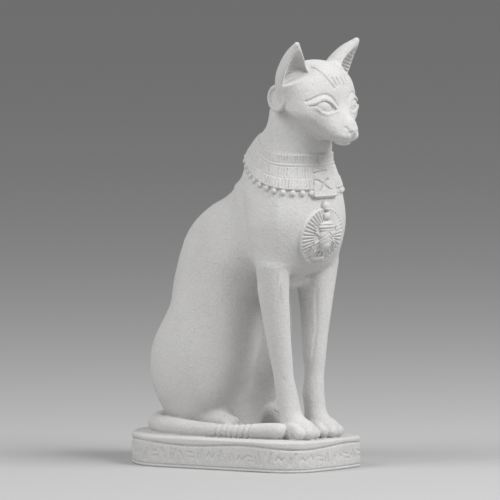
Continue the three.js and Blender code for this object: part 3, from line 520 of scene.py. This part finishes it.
def catField(p, fine):
    # The cat without its ornaments and tail
    q = p.copy()
    q[:, 0] = np.abs(q[:, 0])
    y, z = p[:, 1], p[:, 2]
    d = np.full(len(p), farOff)
    join(d, z > 110, neckAndBreast, p, sharp)
    join(d, z < 205, trunk, p, 16)
    join(d, z < 145, thigh, q, 20)
    join(d, within(z, 30, 145), flank, q, 14)
    low = (z < 26) & (y > -45)
    join(d, low, hindFoot, q, 5)
    for toe in hindToes:
        join(d, low, toe, q, 1)
    if fine:
        aside = q[:, 0] - hindMiddle
        between = np.abs(np.mod(aside + hindToePitch / 2, hindToePitch) - hindToePitch / 2)
        fade = smoothstep(-6, -12, y) * smoothstep(7.5, 5, np.abs(aside))
        d += 0.8 * bump(between, 0.75) * low * fade
    leg = np.full(len(p), farOff)
    join(leg, z < 215, foreleg, q, sharp)
    join(leg, z < 40, pawBody, q, 7)
    for toe in toes:
        join(leg, (z < 20) & (y < -55), toe, q, 1)
    join(leg, within(z, 55, 142), innerLeg, q, 4)
    spot = np.nonzero(z < 215)[0]
    d[spot] = blend(d[spot], leg[spot], 7 + 7 * smoothstep(110, 160, z[spot]))
    join(d, within(z, 108, 136), lowBelly, p, 5)
    fade = smoothstep(194, 182, z) * smoothstep(106, 124, z) * smoothstep(14, 22, q[:, 0])
    d += 1.6 * fade * bump(toLine(shoulderCrease, y, z), 5)
    spot = np.nonzero(z > 212)[0]
    if len(spot):
        d[spot] = blend(d[spot], headField(p[spot], q[spot], fine), 5)
        d[spot] = blend(d[spot], throat(p[spot]), 6)
    if fine:
        d += legLine(q)
    return d - breastEdge(q)


# Collar: tiers, cut lines and hatching, as a thickness that stands out from the neck
collarSteps = np.array([
    (3.0, 0), (3.4, 0.7), (4.2, 1), (11.2, 1), (11.9, 0.6), (12.6, 0.8), (19.6, 0.8), (20.4, 0.45),
    (21.2, 0.75), (22.4, 0.75), (23.2, 0.4), (24, 0.65), (28.9, 0.65), (29.7, 0.4), (30.1, 0),
])
# Each band of hatching: its foot, its top, how many cuts go round, and where they start
hatchBands = [(4.6, 11.2, 88, 0.0), (13, 19.5, 80, 1.3), (24.4, 28.8, 84, 2.1)]
collar = {
    "middle": -60,  # the upright line that the collar is measured around, by its y
    "lowest": 188.5,
    "lowestAt": -88,
    "climb": 0.0052,
    "narrowing": 0.1,
    "narrowsOver": (-82, -55),
    "panelWrap": 27,
    "panelAside": 1.2,
    "panelProud": 1.0,
}
# Strokes on the front panel: [across, up]
panelStrokes = [
    [[-9.4, 10.8], [-6.4, 10.4], [-2.6, 8], [4.2, 2.8]],
    [[-10, 15.4], [-7, 16.7], [-2, 17.4], [3.6, 17.4]],
]
panelSecondStroke = [[3.4, 10.8], [0.8, 9.8], [-2.6, 7], [-6.6, 2.2]]


def collarLow(y):
    return collar["lowest"] + collar["climb"] * (y - collar["lowestAt"]) ** 2


def collarNarrowing(y):
    return 1 - collar["narrowing"] * smoothstep(*collar["narrowsOver"], y)


def collarOut(p, fine):
    x, y, z = p.T
    angle = np.arctan2(x, -(y - collar["middle"]))
    up = (z - collarLow(y)) / collarNarrowing(y)
    thick = np.interp(up, collarSteps[:, 0], collarSteps[:, 1]) * own["collarThickness"]
    across = angle * collar["panelWrap"] + collar["panelAside"]
    half = np.interp(up, [-2.4, -1.7, 18.3, 19], [10.8, 11.4, 9.3, 8.8])
    panel = smoothstep(0.35, -0.35, np.abs(across) - half)
    panel *= smoothstep(-2.6, -2.0, up) * smoothstep(19.3, 18.7, up)
    front = np.full(len(p), own["collarThickness"] + collar["panelProud"])
    if fine:
        for low, high, count, start in hatchBands:
            band = smoothstep(low - 0.4, low + 0.4, up) * smoothstep(high + 0.4, high - 0.4, up)
            waver = 0.8 * np.sin(angle * 13 + start * 3) + 0.25 * np.sin(up * 1.1 + angle * 31)
            depth = 0.6 + 0.35 * np.sin(angle * 19 + start) * np.sin(angle * 7.3)
            thick -= depth * band * (0.5 + 0.5 * np.cos(angle * count + start + waver)) ** 3
        first = np.minimum(*(toLine(stroke, across, up) for stroke in panelStrokes))
        second = toLine(panelSecondStroke, across, up)
        front -= np.maximum(1.3 * bump(first, 0.62), 1.8 * bump(second, 0.75))
        front -= 0.35 * bump(np.abs(across) - half + 1.3, 0.5)
        front += 0.35 * bump(up + 1.4, 0.6)
    return thick * (1 - panel) + front * panel


# Pendant: a thin disc with rays, and the beetle on it. The beetle's depth is counted from the disc's face.
beetle = {
    "wingCases": ellipsoid(0, -0.4, 154.6, 7.2, 3.2, 8.2),
    "thorax": ellipsoid(0, -0.4, 163.2, 8.1, 3.0, 4.7),
    "head": ellipsoid(0, -0.4, 171.6, 3.2, 2.4, 3.1),
    "egg": ellipsoid(0, -0.4, 148.2, 4.7, 3.6, 4.3),
    "bar": ellipsoid(0, -0.2, 138.2, 6.8, 1.6, 1.9),
}
beetleLegs = [
    [[7.4, 157], [10.4, 159.5], [11, 163.4]],
    [[7, 152.4], [10, 151], [11.4, 148]],
    [[4.8, 146.4], [8, 144], [9, 141.2]],
    [[1.4, 144.4], [2.6, 141.8]],
]
sunHeight = pendantHeight + own["pendantRadius"] + 0.5 * own["sunBall"]
sun = ellipsoid(0, -0.3 * own["sunBall"], sunHeight, *[own["sunBall"]] * 3)


def pendantRelief(p, fine):
    # Here and in addPendant, x is counted from the pendant's own centre
    x, y, z = p.T
    rise = z - pendantHeight
    r = np.hypot(x, rise)
    turn = np.arctan2(x, rise)
    edge = own["pendantRadius"]
    ridge = 0.5 + 0.5 * np.cos(turn * rayCount)
    reach = smoothstep(10.2, 11.6, r + 0.5 * np.sin(turn * 9)) * smoothstep(edge - 0.6, edge - 1.6, r)
    out = reach * ((1.5 * np.sqrt(ridge) - 1.05) if fine else (0.6 * ridge - 0.3))
    if fine:
        out += 0.3 * bump(r - edge + 0.5, 0.5)
        for leg in beetleLegs:
            out += 1.1 * smoothstep(1.0, 0.3, toLine(leg, np.abs(x), z))
    return out


def addPendant(d, p, fine):
    x, y, z = p.T
    past = np.hypot(x, z - pendantHeight) - own["pendantRadius"]
    skin = d - own["pendantThickness"] * smoothstep(0.45, -0.45, past)
    flat = np.column_stack([x, -skin, z])
    d = skin - pendantRelief(p, fine)
    for name, part in beetle.items():
        gap = part(flat)
        if fine and name == "thorax":
            gap += bump(np.abs(z - 163.4) - 1.3, 0.5) + 0.9 * bump(z - 159.8, 0.5)
        if fine and name == "wingCases":
            gap += 0.9 * bump(z - 159.2 + 0.75 * np.abs(x), 0.6)
            gap += 0.6 * bump(z - 155.6 + 0.5 * np.abs(x), 0.5)
        d = blend(d, gap, 0.6)
    return blend(d, sun(flat), 0.5)


def onCollar(y, up):
    return collarLow(y) + up * collarNarrowing(y)


def collarRadii(angles, up):
    # How far the cat's own skin lies from the collar's middle line, all round
    middle = collar["middle"]
    y = np.full(len(angles), -86.0)
    for sweep in range(5):
        inside, outside = np.full(len(angles), 5.0), np.full(len(angles), 75.0)
        for halving in range(24):
            r = (inside + outside) / 2
            places = np.column_stack([np.sin(angles) * r, middle - np.cos(angles) * r, onCollar(y, up)])
            hit = catField(places, False) < 0
            inside, outside = np.where(hit, r, inside), np.where(hit, outside, r)
        y = middle - np.cos(angles) * inside
    return inside


beadRow = {"from": 0.51, "to": 0.93 * np.pi}  # the turn of the first bead from the front, and the last


def beadPlaces():
    angles = np.linspace(0, np.pi, 73)
    radii = collarRadii(angles, own["beadLift"])
    places = []
    angle = beadRow["from"]
    while angle < beadRow["to"]:
        reach = np.interp(angle, angles, radii)
        y = collar["middle"] - np.cos(angle) * reach
        for side in (-1, 1):
            places.append((side * np.sin(angle) * reach, y, onCollar(y, own["beadLift"])))
        angle += own["beadPitch"] / reach
    y = collar["middle"] + radii[-1]
    places.append((0, y, onCollar(y, own["beadLift"])))
    return places


beads = beadPlaces()


def toBeads(p):
    best = np.full(len(p), np.inf)
    for bead in beads:
        best = np.minimum(best, np.linalg.norm(p - bead, axis=1))
    return best - own["beadRadius"]


hoop = {"centre": (30.4, -65.4, 261.8), "turn": math.radians(9)}


def toHoop(q):
    x, y, z = (q - hoop["centre"]).T
    c, s = math.cos(hoop["turn"]), math.sin(hoop["turn"])
    reach, depth = np.hypot(s * x - c * y, z), c * x + s * y
    wire = np.hypot(reach - own["hoopRadius"], depth) - own["hoopWire"]
    dish = 0.4 + 0.9 * (1 - (reach / own["hoopRadius"]) ** 2)
    web = np.maximum(reach - own["hoopRadius"], np.abs(depth + dish) - own["hoopWeb"] / 2)
    return blend(wire, web, 1.2)


def toTail(p):
    d = tail(p)
    lean = p[:, 1] + 0.2 * (np.interp(-p[:, 1], -tailEnd[:, 1], tailEnd[:, 0]) - p[:, 0])
    for ring in tailRings:
        d += tailForm["ringCut"] * bump(lean - ring, tailForm["ringHalf"])
    return d


def figureField(p, fine):
    x, y, z = p.T
    d = catField(p, fine)
    spot = np.nonzero(within(z, 184, 252) & (d < 6))[0]
    d[spot] -= collarOut(p[spot], fine)
    spot = np.nonzero((np.abs(x - pendantX) < 24) & within(z, 132, 190) & (y < -60))[0]
    if len(spot):
        d[spot] = addPendant(d[spot], p[spot] - [pendantX, 0, 0], fine)
    join(d, within(z, 182, 226), toBeads, p, 0.5)
    q = p.copy()
    q[:, 0] = np.abs(x)
    join(d, within(z, 245, 275) & (q[:, 0] > 24), toHoop, q, 0.5)
    join(d, z < 24, toTail, p, 1.5)
    if fine:
        d += 0.09 * np.sin(x / 6.1 + 1.3 * np.sin(z / 11)) * np.sin(y / 7.3 + z / 9.1)
    return d


# The base: one outline all the way up, rounded at both edges and cut by two grooves
baseOutline = np.array([
    [0.85, -0.93], [0.47, -0.97], [-0.13, -1], [-0.49, -0.98], [-0.69, -0.84], [-0.79, -0.53],
    [-0.91, -0.08], [-1, 0.39], [-0.86, 0.63], [-0.6, 0.83], [-0.17, 0.97], [0.47, 0.91],
    [0.9, 0.66], [1.02, 0.23], [0.98, -0.41], [0.98, -0.8],
])
baseOutline[:, 0] *= np.where(baseOutline[:, 0] < 0, base["tailWidth"], base["leftWidth"])
baseOutline[:, 1] *= np.where(baseOutline[:, 1] < 0, base["front"], base["rear"])
rimCorners, rimPieces = len(baseOutline), 24  # 24 short pieces from each corner to the next
rim = np.array([
    centripetal(*(baseOutline[(i + j - 1) % rimCorners] for j in range(4)), k / rimPieces)
    for i in range(rimCorners)
    for k in range(rimPieces)
])
rimStep = np.linalg.norm(np.roll(rim, -1, axis=0) - rim, axis=1)
rimLength = rimStep.sum()
rimPart = 2 * np.pi * np.concatenate([[0], np.cumsum(rimStep)[:-1]]) / rimLength
fromCentre = rim - np.array(base["centre"])
rimTurn = np.arctan2(fromCentre[:, 1], fromCentre[:, 0])
rimReach = np.linalg.norm(fromCentre, axis=1)
rimTangent = np.roll(rim, -1, axis=0) - np.roll(rim, 1, axis=0)
rimTangent /= np.linalg.norm(rimTangent, axis=1)[:, None]
rimFacing = np.abs(rimTangent[:, 0] * fromCentre[:, 1] - rimTangent[:, 1] * fromCentre[:, 0]) / rimReach


def atRim(values, turn):
    return np.interp(turn, rimTurn, values, period=2 * np.pi)


# Shallow marks on the band of the base: strokes of no script, in a row
markBand = {
    "seed": 7,
    "margin": 4.0,
    "tall": (2.8, 4.4),
    "middle": (9.4, 11),
    "tilt": (0.9, 2.6),
    "rise": (0.6, 2.6),
    "gap": (6.4, 9.2),
    "cut": 0.6,
    "half": 0.7,
}


def bandMarks():
    marks = []
    shake = np.random.default_rng(markBand["seed"])
    at = markBand["margin"]
    while at < rimLength - markBand["margin"]:
        kind = shake.integers(0, 4)
        tall = shake.uniform(*markBand["tall"])
        middle = shake.uniform(*markBand["middle"])
        tilt = shake.uniform(*markBand["tilt"]) * shake.choice((-1, 1))
        if kind < 2:
            marks.append([[at - tilt, middle - tall], [at + tilt, middle + tall]])
        if kind == 1:
            foot = [at + 3 - tilt * 0.4, middle - tall * 0.9]
            marks.append([foot, [at + 3 + tilt * 0.5, middle + tall * 0.2]])
            at += 2
        if kind == 2:
            rises = shake.uniform(*markBand["rise"], 4) * (1, -1, 1, -1)
            marks.append([[at + 2.2 * i - 3, middle + rise] for i, rise in enumerate(rises)])
        if kind == 3:
            marks.append([[at - 2.8, middle - 1.9], [at + 1.2, middle - 1.3]])
            marks.append([[at - 1.2, middle + 1.5], [at + 3, middle + 2.3]])
        at += shake.uniform(*markBand["gap"])
    return marks


marks = bandMarks()


def baseField(p, fine):
    # Real mm from the underside
    x, y, z = p.T
    turn = np.arctan2(y - base["centre"][1], x - base["centre"][0])
    out = np.hypot(x - base["centre"][0], y - base["centre"][1])
    side = (out - atRim(rimReach, turn)) * atRim(rimFacing, turn)
    near = np.nonzero(side > -6)[0]
    around = turn[near]
    share = np.arctan2(atRim(np.sin(rimPart), around), atRim(np.cos(rimPart), around)) / (2 * np.pi)
    wave = -base["grooveWave"] * np.cos((share - base["grooveStart"]) * base["grooveWaves"] * 2 * np.pi)
    cut = base["grooveDeep"] * bump(z[near] - base["plinth"] - wave, base["grooveHalf"])
    cut += base["footGrooveDeep"] * bump(z[near] - base["footGrooveLift"], base["footGrooveHalf"])
    if fine:
        along = np.mod(share, 1) * rimLength
        for mark in marks:
            local = np.nonzero(np.abs(along - mark[0][0]) < 9)[0]
            if len(local):
                stroke = toLine(mark, along[local], z[near][local])
                cut[local] += markBand["cut"] * bump(stroke, markBand["half"])
    side[near] += cut
    rounding = np.where(z > base["top"] / 2, base["edgeRound"], base["footRound"])
    level = np.maximum(z - base["top"], -z) + rounding
    side = side + rounding
    return np.where((side > 0) & (level > 0), np.hypot(side, level), np.maximum(side, level)) - rounding


def wholeField(points, fine):
    # Metres in, metres out
    p = points * 1000
    posed = p.copy()
    posed[:, 2] -= base["top"]
    posed /= pose
    d = np.full(len(p), farOff)
    spot = np.nonzero(posed[:, 2] > -6)[0]
    d[spot] = figureField(posed[spot], fine) * pose
    join(d, p[:, 2] < base["top"] + 8, lambda s: baseField(s, fine), p, 1.0)
    return d / 1000


slopeStep = 4e-5  # metres between two readings


def slope(points, fine):
    d = wholeField(points, fine)
    g = np.empty_like(points)
    for axis in range(3):
        moved = points.copy()
        moved[:, axis] += slopeStep
        g[:, axis] = (wholeField(moved, fine) - d) / slopeStep
    return d, g


print("form written")


# The solid is copied, remeshed finely, drawn onto the exact form, and then carved
finish = {
    "cell": 0.0008,
    "faces": 196000,
    "furthest": 0.0012,  # the longest move in one sweep
    "sweeps": 2,
    "relaxing": 0.5,
    "carvings": 3,
    "carvingShare": 0.9,
}
cat = bpy.data.objects.new("castCat", catNode.data.copy())
bpy.context.scene.collection.objects.link(cat)
bpy.ops.object.select_all(action="DESELECT")
cat.select_set(True)
bpy.context.view_layer.objects.active = cat
bpy.ops.object.mode_set(mode="EDIT")
bpy.ops.mesh.select_all(action="SELECT")
bpy.ops.mesh.remove_doubles(threshold=1e-6)
bpy.ops.object.mode_set(mode="OBJECT")
cat.data.remesh_voxel_size = finish["cell"]
cat.data.use_remesh_fix_poles = False
cat.data.use_remesh_preserve_volume = False
bpy.ops.object.voxel_remesh()
print("remeshed", len(cat.data.vertices))


def readPoints(mesh):
    flat = np.empty(len(mesh.vertices) * 3)
    mesh.vertices.foreach_get("co", flat)
    return flat.reshape(-1, 3)


def writePoints(mesh, points):
    mesh.vertices.foreach_set("co", points.ravel())
    mesh.update()


def edgesOf(mesh):
    flat = np.empty(len(mesh.edges) * 2, int)
    mesh.edges.foreach_get("vertices", flat)
    return flat.reshape(-1, 2)


def unit(g):
    return g / np.maximum(np.linalg.norm(g, axis=1), 1e-9)[:, None]


def drawOn(points):
    d, g = slope(points, False)
    steepness = np.maximum((g * g).sum(1), 0.25)
    step = np.clip(d, -finish["furthest"], finish["furthest"])
    return points - (step / steepness)[:, None] * g, unit(g)


def relax(points, edges, normal, share):
    total = np.zeros_like(points)
    for axis in range(3):
        total[:, axis] = np.bincount(edges[:, 0], points[edges[:, 1], axis], len(points))
        total[:, axis] += np.bincount(edges[:, 1], points[edges[:, 0], axis], len(points))
    count = np.bincount(edges.ravel(), minlength=len(points))
    move = total / np.maximum(count, 1)[:, None] - points
    return points + share * (move - (move * normal).sum(1)[:, None] * normal)


def onDetail(points, level):
    # Where the mesh is made finer: first every carved part, then the finest carvings
    p = points * 1000
    low = p[:, 2] < base["plinth"] + 1.5
    p[:, 2] -= base["top"]
    x, y, z = (p / pose).T
    side, up = np.abs(x), z - collarLow(y)
    panel = (side < 14) & (y < -75) & within(up, -4, 21)
    pendant = (np.abs(x - pendantX) < 23.5) & within(z, 133, 190) & (y < -60)
    rings = within(y, -48, -12) & (x < -26) & within(z, 2, 16)
    eyes = (y < -78) & (side > 5) & within(z, 249, 268)
    if level == 2:
        return panel | pendant | rings | eyes
    ears = (z > 268) & (side > 12)
    face = (y < -74) & (z > 225)
    hoops = (side > 26) & within(z, 248, 274)
    feet = (z < 16) & ((y < -60) | (y < -8) & (side > 19))
    line = (y < -58) & within(z, 46, 122) & (side < 20)
    tiers = within(up, -6, 31.5)
    return low | panel | pendant | rings | ears | face | hoops | feet | line | tiers


def refine(level):
    mesh = cat.data
    chosen = onDetail(readPoints(mesh), level)
    starts = np.empty(len(mesh.polygons), int)
    corners = np.empty(len(mesh.loops), int)
    mesh.polygons.foreach_get("loop_start", starts)
    mesh.loops.foreach_get("vertex_index", corners)
    faces = np.logical_and.reduceat(chosen[corners], starts)
    mesh.vertices.foreach_set("select", np.zeros(len(mesh.vertices), bool))
    mesh.edges.foreach_set("select", np.zeros(len(mesh.edges), bool))
    mesh.polygons.foreach_set("select", faces)
    bpy.context.tool_settings.mesh_select_mode = (False, False, True)
    bpy.ops.object.mode_set(mode="EDIT")
    bpy.ops.mesh.subdivide(number_cuts=1)
    bpy.ops.object.mode_set(mode="OBJECT")
    print("made finer", int(faces.sum()), "faces, now", len(mesh.vertices), "points")


points = readPoints(cat.data)
edges = edgesOf(cat.data)
for sweep in range(finish["sweeps"]):
    points, normal = drawOn(points)
    points = relax(points, edges, normal, finish["relaxing"])
writePoints(cat.data, points)
refine(1)
refine(2)
points = readPoints(cat.data)
carved = onDetail(points, 1)
points[~carved] = drawOn(points[~carved])[0]
detail, normal = drawOn(points[carved])
for sweep in range(finish["carvings"]):
    d = wholeField(detail, True)
    detail -= np.clip(d, -finish["furthest"], finish["furthest"])[:, None] * normal * finish["carvingShare"]
points[carved] = detail
writePoints(cat.data, np.clip(points, np.array(lowCorner), np.array(highCorner)))
print("carved", round(float(np.abs(d).mean() * 1000), 4), "mm off on average")

triangles = len(cat.data.loops) - 2 * len(cat.data.polygons)
thinner = cat.modifiers.new("thin", "DECIMATE")
thinner.ratio = finish["faces"] / triangles
thinner.use_collapse_triangulate = True
bpy.ops.object.modifier_apply(modifier="thin")
bpy.ops.object.shade_smooth()
print("thinned", len(cat.data.polygons))


# Plaster
class Wire:
    # A shader socket that can be reckoned with, and the one maker of nodes
    def __init__(self, tree, socket):
        self.tree, self.socket = tree, socket

    def make(self, kind, settings=None, sockets=None, out=0):
        node = self.tree.nodes.new(kind)
        for name, value in (settings or {}).items():
            setattr(node, name, value)
        for name, value in (sockets or {}).items():
            if isinstance(value, Wire):
                self.tree.links.new(value.socket, node.inputs[name])
            else:
                node.inputs[name].default_value = value
        return Wire(self.tree, node.outputs[out])

    def reckon(self, operation, *values):
        return self.make("ShaderNodeMath", {"operation": operation}, dict(enumerate(values)))

    def __add__(self, other):
        return self.reckon("ADD", self, other)

    def __sub__(self, other):
        return self.reckon("SUBTRACT", self, other)

    def __rsub__(self, other):
        return self.reckon("SUBTRACT", other, self)

    def __mul__(self, other):
        return self.reckon("MULTIPLY", self, other)

    __radd__ = __add__
    __rmul__ = __mul__

    def ramp(self, low, high):
        settings = {"interpolation_type": "SMOOTHSTEP"}
        return self.make("ShaderNodeMapRange", settings, {0: self, 1: low, 2: high})


plaster = {
    "light": (0.66, 0.655, 0.645, 1),
    "dark": (0.54, 0.535, 0.525, 1),
    "cloud": 28.0,
    "grain": 900.0,
    "speck": 600.0,
    "cloudShare": 0.3,
    "grainShare": 0.55,
    "speckShare": 0.4,
    "roughness": 0.82,
    "roughnessChange": 0.12,
    "shine": 0.3,
    "relief": 0.8,
    "reliefHeight": 0.0004,
}


def plasterFinish(look):
    material = bpy.data.materials.new("whitePlaster")
    material.use_nodes = True
    tree = material.node_tree
    shader = tree.nodes["Principled BSDF"]
    place = Wire(tree, None).make("ShaderNodeTexCoord", out="Object")

    def noise(scale, detail):
        return place.make("ShaderNodeTexNoise", {}, {"Vector": place, "Scale": scale, "Detail": detail})

    cloud = noise(look["cloud"], 3.0)
    grain = noise(look["grain"], 2.0)
    speck = noise(look["speck"], 1.0).ramp(0.66, 0.78)
    worn = cloud.ramp(0.35, 0.7) * look["cloudShare"] + grain.ramp(0.34, 0.66) * look["grainShare"]
    worn = worn + speck * look["speckShare"]
    shades = {"Factor": worn, 6: look["light"], 7: look["dark"]}
    colour = place.make("ShaderNodeMix", {"data_type": "RGBA"}, shades, out=2)
    tree.links.new(colour.socket, shader.inputs["Base Color"])
    roughness = look["roughness"] + grain * look["roughnessChange"]
    tree.links.new(roughness.socket, shader.inputs["Roughness"])
    height = grain + noise(look["grain"] * 0.4, 2.0) - speck * 0.6
    bumps = {"Strength": look["relief"], "Distance": look["reliefHeight"], "Height": height}
    relief = place.make("ShaderNodeBump", {}, bumps)
    tree.links.new(relief.socket, shader.inputs["Normal"])
    shader.inputs["Specular IOR Level"].default_value = look["shine"]
    return material


cat.data.materials.clear()
cat.data.materials.append(plasterFinish(plaster))
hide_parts("bastet_cat")
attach(cat, "root")
print("finished in plaster")


# Floor, light and camera
def plainColour(name, colour, roughness):
    material = bpy.data.materials.new(name)
    material.use_nodes = True
    shader = material.node_tree.nodes["Principled BSDF"]
    shader.inputs["Base Color"].default_value = colour
    shader.inputs["Roughness"].default_value = roughness
    return material


floorLook = {"size": 20, "colour": (0.5, 0.5, 0.5, 1), "roughness": 0.9}  # the size in metres
bpy.ops.mesh.primitive_plane_add(size=floorLook["size"], location=(0, 0, 0))
floor = bpy.context.active_object
floor.name = "floor"
floor.data.materials.append(plainColour("paleFloor", floorLook["colour"], floorLook["roughness"]))

studio = {
    "azimuth": -48.0,
    "elevation": 4.6,
    "distance": 14.0,
    "lens": 1311.4,
    "sensor": 36,
    "target": (0.00515, -0.00572, 0.16396),
    "sky": 0.27,
}
# Each lamp: its side from the camera, its front, its height, how far off it is, its width and its power
lamps = {
    "keyLight": {"side": 0.8, "front": 0.5, "up": 0.9, "distance": 1.8, "width": 1.1, "power": 29.0},
    "fillLight": {"side": -0.8, "front": 0.5, "up": 0.8, "distance": 2.0, "width": 1.4, "power": 21.5},
}
turn, rise = math.radians(studio["azimuth"]), math.radians(studio["elevation"])
toCamera = Vector((math.sin(turn) * math.cos(rise), -math.cos(turn) * math.cos(rise), math.sin(rise)))
toRight = Vector((math.cos(turn), math.sin(turn), 0))
upward = Vector((0, 0, 1))
target = Vector(studio["target"])
world = bpy.data.worlds.new("sky")
world.use_nodes = True
world.node_tree.nodes["Background"].inputs["Color"].default_value = (1, 1, 1, 1)
world.node_tree.nodes["Background"].inputs["Strength"].default_value = studio["sky"]
bpy.context.scene.world = world
bpy.context.scene.view_settings.view_transform = "Standard"


def softLight(name, lamp):
    light = bpy.data.lights.new(name, "AREA")
    light.shape = "DISK"
    light.size = lamp["width"]
    light.energy = lamp["power"]
    direction = toRight * lamp["side"] + toCamera * lamp["front"] + upward * lamp["up"]
    stand = bpy.data.objects.new(name, light)
    stand.location = target + direction.normalized() * lamp["distance"]
    stand.rotation_euler = direction.to_track_quat("Z", "Y").to_euler()
    bpy.context.scene.collection.objects.link(stand)


for name, lamp in lamps.items():
    softLight(name, lamp)

optics = bpy.data.cameras.new("camera")
optics.sensor_width = studio["sensor"]
optics.lens = studio["lens"]
camera = bpy.data.objects.new("camera", optics)
camera.location = target + toCamera * studio["distance"]
camera.rotation_euler = toCamera.to_track_quat("Z", "Y").to_euler()
bpy.context.scene.collection.objects.link(camera)
bpy.context.scene.camera = camera

print("stage set")
